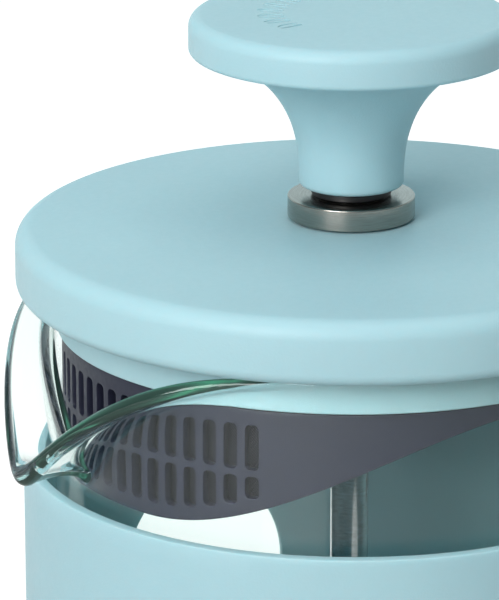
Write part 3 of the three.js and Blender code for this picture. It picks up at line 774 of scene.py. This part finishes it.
for body, nodes in (("jacket", BASE_SCREWS), ("lid", STRAINER_SCREWS)):
    for node in nodes:
        stand_for(make_screw(node, SCREW_HEAD_RADIUS, SCREW_HEAD, SCREW_SHANK), body, node)
for node in HANDLE_SCREWS:
    stand_for(make_screw(node, HANDLE_HEAD_RADIUS, HANDLE_HEAD, HANDLE_SHANK, True), "jacket", node)


# -------- strainer
SLOT_COLUMNS = 19
SLOT_PITCH = radians(4.3)
SLOT_HALF = 1.05 * MM
SLOT_CORNER = 0.75 * MM
SLOT_TOP_DROP = 2.45 * MM
UPPER_SLOT = 7 * MM
SLOT_BRIDGE = 1.0 * MM
SLOT_MARGIN = 2.15 * MM
SKIRT_WALL = 1.5 * MM
SKIRT_LEAST, SKIRT_FALL = 1.8 * MM, 17.8 * MM  # its height far from the spout, and how much more at it
SKIRT_DEEP, SKIRT_RISE = 15, 80  # degrees from the spout that stay deep, and over which it rises
LINING_HALF = radians(44)


def skirt_bottom(angle):
    """The level of the skirt's lower edge at an angle from the spout."""
    share = min(max((abs(degrees(angle)) - SKIRT_DEEP) / SKIRT_RISE, 0), 1)
    return strainer_top - SKIRT_LEAST - SKIRT_FALL * (1 + cos(pi * share)) / 2


def make_skirt():
    """The round wall, deepest at the spout, with two rows of slots there."""
    sheet = wall_mesh(strainer_radius)
    upper_top = strainer_top - SLOT_TOP_DROP
    upper_low = upper_top - UPPER_SLOT
    split = upper_low - SLOT_BRIDGE / 2
    rows, columns = 12, 6
    edge = SLOT_COLUMNS / 2 * SLOT_PITCH

    def level(angle, k):
        """The height of row k, from 0 at the skirt's lower edge to 2 * rows at its top."""
        bottom = skirt_bottom(angle)
        if abs(angle) <= edge + TINY:
            if k <= rows:
                return bottom + (split - bottom) * k / rows
            return split + (strainer_top - split) * (k - rows) / rows
        share = (level(edge, k) - skirt_bottom(edge)) / (strainer_top - skirt_bottom(edge))
        return bottom + share * (strainer_top - bottom)

    def border(left, right, first, last):
        """Points round a cell from its lower left corner: along the bottom, up, back and down."""
        across = np.linspace(left, right, columns + 1)
        return ([(a * strainer_radius, level(a, first)) for a in across[:-1]]
                + [(right * strainer_radius, level(right, k)) for k in range(first, last)]
                + [(a * strainer_radius, level(a, last)) for a in across[:0:-1]]
                + [(left * strainer_radius, level(left, k)) for k in range(last, first, -1)])

    for i in range(SLOT_COLUMNS):
        left = -edge + i * SLOT_PITCH
        right = left + SLOT_PITCH
        middle = (left + right) / 2
        centre = middle * strainer_radius
        add_window(sheet, border(left, right, 0, rows), centre, SLOT_HALF, SLOT_CORNER,
                   skirt_bottom(middle) + SLOT_MARGIN, upper_low - SLOT_BRIDGE, 4)
        add_window(sheet, border(left, right, rows, 2 * rows), centre, SLOT_HALF, SLOT_CORNER,
                   upper_low, upper_top, 4)
    around = np.linspace(edge, 2 * pi - edge, 260)
    add_patch(sheet, [[(a * strainer_radius, level(a if a <= pi else a - 2 * pi, k)) for a in around]
                      for k in range(2 * rows + 1)])
    return shell_from("strainer_fine", sheet, charcoal, SKIRT_WALL, 0.18 * MM, 2)


def make_strainer():
    """The slotted skirt, and the stepped web inside the collar that holds it."""
    edge = strainer_radius - 0.1 * MM  # a little inside the skirt's face
    spigot = collar_plug - COLLAR_WALL - GAP
    wall = 1.6 * MM
    top, ledge = high("strainer"), strainer_top - SKIRT_WALL
    web = turned("strainer_web", [
        (edge - SKIRT_WALL, ledge), (edge, ledge), (edge, strainer_top), (spigot, strainer_top),
        (spigot, top, ROUND), (WEB_OPENING, top, 0.4 * MM), (WEB_OPENING, top - wall, 0.4 * MM),
        (spigot - wall, top - wall, 0.5 * MM), (spigot - wall, ledge)], charcoal, BIG, True)
    carved(web, [pin_at(s, SHANK_HOLE, top - wall - PAST, top + PAST) for s in STRAINER_SCREWS])
    return joined(make_skirt(), web)


def make_lining():
    """The fine mesh behind the slots."""
    outer = strainer_radius - SKIRT_WALL - GAP
    sheet = wall_mesh(outer)
    top = strainer_top - SKIRT_WALL - GAP
    around = np.linspace(-LINING_HALF, LINING_HALF, 120)
    add_patch(sheet, [[(a * outer, top + share * (skirt_bottom(a) + MM - top)) for a in around]
                      for share in np.linspace(0, 1, 16)])
    return shell_from("strainer_lining_fine", sheet, nylon, 0.6 * MM, 0.1 * MM, 1)


stand_for(make_strainer(), "lid", "strainer")
stand_for(make_lining(), "lid", "strainer_lining")


# -------- lid
def make_lid_cover():
    """A hollow disc with a slightly domed top, a rounded edge, and a boss round the guide."""
    wall, boss, fillet = 2.6 * MM, 9 * MM, 2.9 * MM
    boss_foot = high("lid_collar") + GAP
    edge = lid_radius - fillet
    dome = [(guide_hole + share * (edge - guide_hole), lid_top + lid_dome * (1 - share * share))
            for share in np.linspace(1, 0, 14)]
    top_round = [(edge + fillet * sin(a), lid_top - fillet + fillet * cos(a))
                 for a in np.linspace(pi / 2, 0, 12)]
    under = soften([(guide_hole, boss_foot), (boss, boss_foot, ROUND), (boss, lid_top - wall, 1 * MM),
                    (lid_radius - wall, lid_top - wall, 1.5 * MM), (lid_radius - wall, lid_under, 0.25 * MM),
                    (lid_radius, lid_under, 2 * MM), (lid_radius, lid_top - fillet)], False, 8)
    return turned("lid_cover_fine", under[:-1] + top_round + dome[1:], blue, BIG, True)


def make_collar():
    """The plug that goes into the glass, hung from a flange under the lid."""
    bottom, top, flange = low("lid_collar"), high("lid_collar"), radius("lid_collar")
    flange_height = 2 * MM
    shelf = top - flange_height
    inside = collar_plug - COLLAR_WALL
    collar = turned("lid_collar_fine", [
        (guide_hole, shelf), (inside, shelf, 0.4 * MM), (inside, bottom, 0.25 * MM),
        (collar_plug, bottom, 0.35 * MM), (collar_plug, shelf, ROUND), (flange, shelf, ROUND),
        (flange, top, ROUND), (guide_hole, top)], blue, BIG, True)
    return carved(collar, [pin_at(s, SHANK_HOLE, shelf - PAST, top + PAST) for s in STRAINER_SCREWS])


stand_for(make_lid_cover(), "lid", "lid_cover")
stand_for(make_collar(), "lid", "lid_collar")


# -------- guide through the lid
def make_bush():
    """The flanged tube in which the rod slides."""
    tube, flange = guide_hole - GAP, radius("lid_bush")
    bottom, top, seat = low("lid_bush"), high("lid_bush"), high("lid_ring") + GAP
    return turned("lid_bush_fine", [
        (rod_bore, bottom, 0.2 * MM), (tube, bottom, ROUND), (tube, seat), (flange, seat, 0.15 * MM),
        (flange, top, ROUND), (rod_bore, top, ROUND)], black, MEDIUM, True)


def make_nut(node, hole, material):
    """A hexagonal nut with its corners turned down at both ends."""
    corners, bottom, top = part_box(node)[1].x, low(node), high(node)
    outline = [(corners * cos(radians(60 * k)), corners * sin(radians(60 * k))) for k in range(6)]
    body = make_object(node + "_fine", *prism(outline, bottom, top), material)
    face = corners - 0.4 * MM - PAST  # the cone's radius where it starts, clear of the nut
    wide, rise = face + 1.9 * MM, PAST + 1.1 * MM
    cone = turned("chamfer", [
        (0, bottom - PAST), (face, bottom - PAST), (wide, bottom - PAST + rise), (wide, top + PAST - rise),
        (face, top + PAST), (0, top + PAST)], material, SMALL)
    carved(body, [cone], "INTERSECT")
    return carved(body, [pin(hole, 0, 0, bottom - PAST, top + PAST)])


stand_for(make_sleeve("lid_ring", guide_hole, (0, 0.12, 0.18, 0.1), brushed, BIG), "guide", "lid_ring")
stand_for(make_bush(), "guide", "lid_bush")
stand_for(make_nut("bush_nut", guide_hole, black), "guide", "bush_nut")


# -------- knob
BEAN_COUNT = 9
BEAN_PITCH = radians(16)
BEAN_MIDDLE = radians(125)  # the row's middle, counted from +X
BEAN_CIRCLE = 12.6 * MM
BEAN_HALF_LENGTH, BEAN_HALF_WIDTH = 2.1 * MM, 1.3 * MM
BEAN_CREASE = 0.2 * MM
BEAN_DEPTH = 0.14 * MM


def half_bean(side, turn):
    """Half of a coffee bean's outline, as a prism that engraves the knob's top."""
    bulge = BEAN_HALF_WIDTH - BEAN_CREASE
    outline = [(BEAN_CIRCLE - BEAN_HALF_LENGTH * cos(a), side * (BEAN_CREASE + bulge * sin(a)))
               for a in np.linspace(0, pi, 13)]
    half = make_object("half_bean", *prism(outline, knob_top - BEAN_DEPTH, knob_top + PAST), blue)
    half.data.transform(Matrix.Rotation(turn, 4, "Z"))
    return half


def make_knob():
    """A disc on a neck that flares out to it, with a bore for the insert and a row of beans on top."""
    neck_radius, straight, flare = 8.13 * MM, 1.8 * MM, 2.25
    disc_height, bore_depth = 6 * MM, 17.6 * MM
    under = knob_top - disc_height
    reach = knob_radius - neck_radius
    neck = []
    for i in range(25):  # it ends just short of the disc's edge
        share = sin(pi / 2 * i / 26)
        neck.append((neck_radius + reach * (1 - sqrt(1 - share ** flare)),
                     knob_foot + straight + share * (under - knob_foot - straight)))
    bore = radius("knob_insert") + GAP
    bore_top = knob_foot + bore_depth
    foot = soften([(0, bore_top), (bore, bore_top), (bore, knob_foot, ROUND),
                   (neck_radius, knob_foot, 0.8 * MM), (neck_radius, knob_foot + straight)], False, 6)
    low_fillet, top_fillet = 0.8 * MM, 2 * MM
    low_round = [(knob_radius - low_fillet * (1 - sin(a)), under + low_fillet * (1 - cos(a)))
                 for a in np.linspace(0.35, pi / 2, 8)]
    top_round = [(knob_radius - top_fillet * (1 - sin(a)), knob_top - top_fillet * (1 - cos(a)))
                 for a in np.linspace(pi / 2, 0, 12)]
    knob = turned("knob_fine", foot[:-1] + neck + low_round + top_round + [(0, knob_top)], blue)
    turns = [BEAN_MIDDLE + BEAN_PITCH * (i - (BEAN_COUNT - 1) / 2) for i in range(BEAN_COUNT)]
    return carved(knob, [half_bean(side, turn) for turn in turns for side in (-1, 1)])


stand_for(make_knob(), "knob", "knob")
stand_for(make_sleeve("knob_insert", thread_hole, (0.3, 0.3, 0.3, 0.3), brass), "knob", "knob_insert")


# -------- plunger
def make_rod():
    """A round rod, thinner at both ends, where its threads would be."""
    bottom, top = low("plunger_rod"), high("plunger_rod")
    seat_drop = 2.8 * MM  # from the top plate's crown to the shoulder that it sits on
    shoulder_low = high("top_plate") - seat_drop
    shoulder_top = low("knob_insert") - GAP
    return turned("plunger_rod_fine", [
        (0, bottom), (thread_radius, bottom, ROUND), (thread_radius, shoulder_low),
        (rod_radius, shoulder_low, 0.2 * MM), (rod_radius, shoulder_top, ROUND),
        (thread_radius, shoulder_top), (thread_radius, top, ROUND), (0, top)], polished, MEDIUM)


def ring_of_pins(circle, count, hole, bottom, top, turn=0.0):
    """Round cutters, evenly spaced on a circle."""
    pins = []
    for i in range(count):
        a = turn + 2 * pi * i / count
        pins.append(pin(hole, circle * cos(a), circle * sin(a), bottom, top))
    return pins


def make_top_plate():
    """A domed sheet with a row of holes."""
    inner, edge, bottom, top = rod_radius + GAP, radius("top_plate"), low("top_plate"), high("top_plate")
    sheet = 0.8 * MM
    shares = np.linspace(0, 1, 24)
    under = [(inner + s * (edge - inner), bottom + (top - bottom - sheet) * (1 - s * s)) for s in shares]
    upper = [(r, z + sheet) for r, z in under[::-1]]
    dome = turned("top_plate_fine", under + upper, polished, MEDIUM, True)
    return carved(dome, ring_of_pins(0.72 * edge, 8, PLATE_HOLE, bottom - PAST, top + PAST))


def make_cross_plate():
    """A flat disc with two rows of holes."""
    edge, bottom, top = radius("cross_plate"), low("cross_plate"), high("cross_plate")
    plate = make_sleeve("cross_plate", thread_hole, (0, 0.2, 0.2, 0), polished)
    holes = []
    for share, count, turn in ((0.42, 8, 0), (0.76, 12, 0.13)):
        holes += ring_of_pins(share * edge, count, PLATE_HOLE, bottom - PAST, top + PAST, turn)
    return carved(plate, holes)


def make_filter_mesh():
    """A disc of wire cloth with a turned-up rim."""
    edge, bottom, rim = radius("filter_mesh"), low("filter_mesh"), high("filter_mesh")
    sheet = 0.6 * MM
    return turned("filter_mesh_fine", [
        (thread_hole, bottom), (edge, bottom, 1 * MM), (edge, rim, 0.2 * MM), (edge - sheet, rim, 0.2 * MM),
        (edge - sheet, bottom + sheet, 0.4 * MM), (thread_hole, bottom + sheet)], woven, BIG, True)


def make_spring():
    """A fine wire coiled into a ring."""
    wire = 0.25 * MM
    edge, bottom, top = radius("edge_spring"), low("edge_spring"), high("edge_spring")
    coil = (top - bottom) / 2 - wire
    centre = edge - coil - wire
    middle = (bottom + top) / 2
    turns, steps, sides = 118, 11, 6
    total = turns * steps
    spots = []
    for i in range(total):
        a, b = 2 * pi * i / total, 2 * pi * i / steps
        r = centre + coil * cos(b)
        spots.append(Vector((r * cos(a), r * sin(a), middle + coil * sin(b))))
    verts = []
    for i, spot in enumerate(spots):
        a = 2 * pi * i / total
        heading = (spots[(i + 1) % total] - spots[i - 1]).normalized()
        out = spot - Vector((centre * cos(a), centre * sin(a), middle))
        out = (out - heading * out.dot(heading)).normalized()
        side = heading.cross(out)
        for k in range(sides):
            c = 2 * pi * k / sides
            verts.append(spot + (out * cos(c) + side * sin(c)) * wire)
    return make_object("edge_spring_fine", verts, turn_faces(sides, total, True), brushed, 80)


stand_for(make_rod(), "plunger", "plunger_rod")
stand_for(make_sleeve("rod_stop", rod_radius + GAP, (0.2, 0.3, 0.5, 0.2), polished), "plunger", "rod_stop")
stand_for(make_top_plate(), "plunger", "top_plate")
stand_for(make_spring(), "plunger", "edge_spring")
stand_for(make_filter_mesh(), "plunger", "filter_mesh")
stand_for(make_cross_plate(), "plunger", "cross_plate")
stand_for(make_nut("hub_nut", thread_hole, polished), "plunger", "hub_nut")


# -------- stage, light and camera
FLOOR_GLOW = 0.8  # of the lit part of the floor, behind the press and far from it
FLOOR_FAR = 0.8  # metres; this far out on any side the glow starts, as it does beside the press
GLOW_START, GLOW_FULL = -0.05, 0.45  # metres behind the press
WORLD_DIM, WORLD_BRIGHT = 0.26, 0.95
WORLD_START, WORLD_FULL = 0.15, 0.9  # cosines of the angle to BEHIND
FILL_TINT = (0.74, 0.95, 1, 1)
BEHIND = (-sin(CAMERA_AZIMUTH), cos(CAMERA_AZIMUTH), 0)  # the way from the camera to the press


def make_floor():
    """A pale grey floor that glows white behind the press, as a lit backdrop."""
    mesh = bpy.data.meshes.new("floor")
    far = 12
    mesh.from_pydata([(-far, -far, 0), (far, -far, 0), (far, far, 0), (-far, far, 0)], [], [(0, 1, 2, 3)])
    floor = bpy.data.objects.new("floor", mesh)
    bpy.context.scene.collection.objects.link(floor)
    n = Nodes("floor")
    n.link(n.blend(n.spread(n.noise(3, 2), 0, 1), (0.48, 0.46, 0.45, 1), (0.46, 0.44, 0.43, 1)),
           n.shader.inputs["Base Color"])
    across = n.add("ShaderNodeVectorMath", operation="DOT_PRODUCT")
    across.inputs[1].default_value = BEHIND
    away = n.add("ShaderNodeVectorMath", operation="LENGTH")
    n.link(n.place, across.inputs[0])
    n.link(n.place, away.inputs[0])
    lit = n.math("MAXIMUM", across.outputs["Value"], n.math("SUBTRACT", away.outputs["Value"], FLOOR_FAR))
    glow = n.spread(lit, 0, FLOOR_GLOW, GLOW_START, GLOW_FULL, "SMOOTHSTEP")
    n.link(glow, n.shader.inputs["Emission Strength"])
    n.set(Roughness=0.9, Emission_Color=(1, 1, 1, 1))
    mesh.materials.append(n.material)


def make_world():
    """White to the eye. As a light it is teal, bright behind the press and dim on the camera's side."""
    world = bpy.data.worlds.new("studio")
    bpy.context.scene.world = world
    world.use_nodes = True
    tree = world.node_tree
    background = tree.nodes["Background"]
    colour = tree.nodes.new("ShaderNodeMix")
    colour.data_type = "RGBA"
    colour.inputs[6].default_value = FILL_TINT
    colour.inputs[7].default_value = (1, 1, 1, 1)
    direction = tree.nodes.new("ShaderNodeTexCoord").outputs["Generated"]
    across = tree.nodes.new("ShaderNodeVectorMath")
    across.operation = "DOT_PRODUCT"
    across.inputs[1].default_value = BEHIND
    ramp = tree.nodes.new("ShaderNodeMapRange")
    ramp.interpolation_type = "SMOOTHSTEP"
    for key, number in zip(RANGE_SOCKETS, (WORLD_START, WORLD_FULL, WORLD_DIM, WORLD_BRIGHT)):
        ramp.inputs[key].default_value = number
    seen = tree.nodes.new("ShaderNodeLightPath")
    level = tree.nodes.new("ShaderNodeMix")
    level.inputs["B"].default_value = 1
    tree.links.new(direction, across.inputs[0])
    tree.links.new(across.outputs["Value"], ramp.inputs["Value"])
    tree.links.new(seen.outputs["Is Camera Ray"], level.inputs["Factor"])
    tree.links.new(seen.outputs["Is Camera Ray"], colour.inputs[0])
    tree.links.new(colour.outputs[2], background.inputs["Color"])
    tree.links.new(ramp.outputs["Result"], level.inputs["A"])
    tree.links.new(level.outputs["Result"], background.inputs["Strength"])


def area_light(name, azimuth, elevation, distance, size, power):
    """A soft white square light that looks at the lid. Azimuth 0 is at -Y and 90 at +X."""
    a, e = radians(azimuth), radians(elevation)
    lamp = bpy.data.lights.new(name, "AREA")
    lamp.size = size
    lamp.energy = power
    light = bpy.data.objects.new(name, lamp)
    back = Vector((sin(a) * cos(e), -cos(a) * cos(e), sin(e)))
    light.location = Vector((0, 0, lid_top)) + back * distance
    light.rotation_euler = (-back).to_track_quat("-Z", "Y").to_euler()
    bpy.context.scene.collection.objects.link(light)


def make_camera():
    """A long lens near the press, which stands a little off the middle of the view."""
    away, above = 647.2 * MM, 189 * MM  # from the middle of the lid's top
    yaw, pitch, roll = 0.024, -0.302, 0.001  # radians
    lens = bpy.data.cameras.new("camera")
    lens.sensor_width = 36
    lens.lens = 261.4
    lens.clip_start, lens.clip_end = 0.05, 50
    camera = bpy.data.objects.new("camera", lens)
    camera.location = (away * sin(CAMERA_AZIMUTH), -away * cos(CAMERA_AZIMUTH), lid_top + above)
    camera.rotation_euler = (pi / 2 + pitch, roll, CAMERA_AZIMUTH + yaw)
    bpy.context.scene.collection.objects.link(camera)
    bpy.context.scene.camera = camera


make_floor()
make_world()
area_light("key", -62, 27, 1.2, 0.7, 13.2)
area_light("top", -20, 80, 1.3, 1.2, 7)
make_camera()
bpy.context.scene.view_settings.view_transform = "Standard"
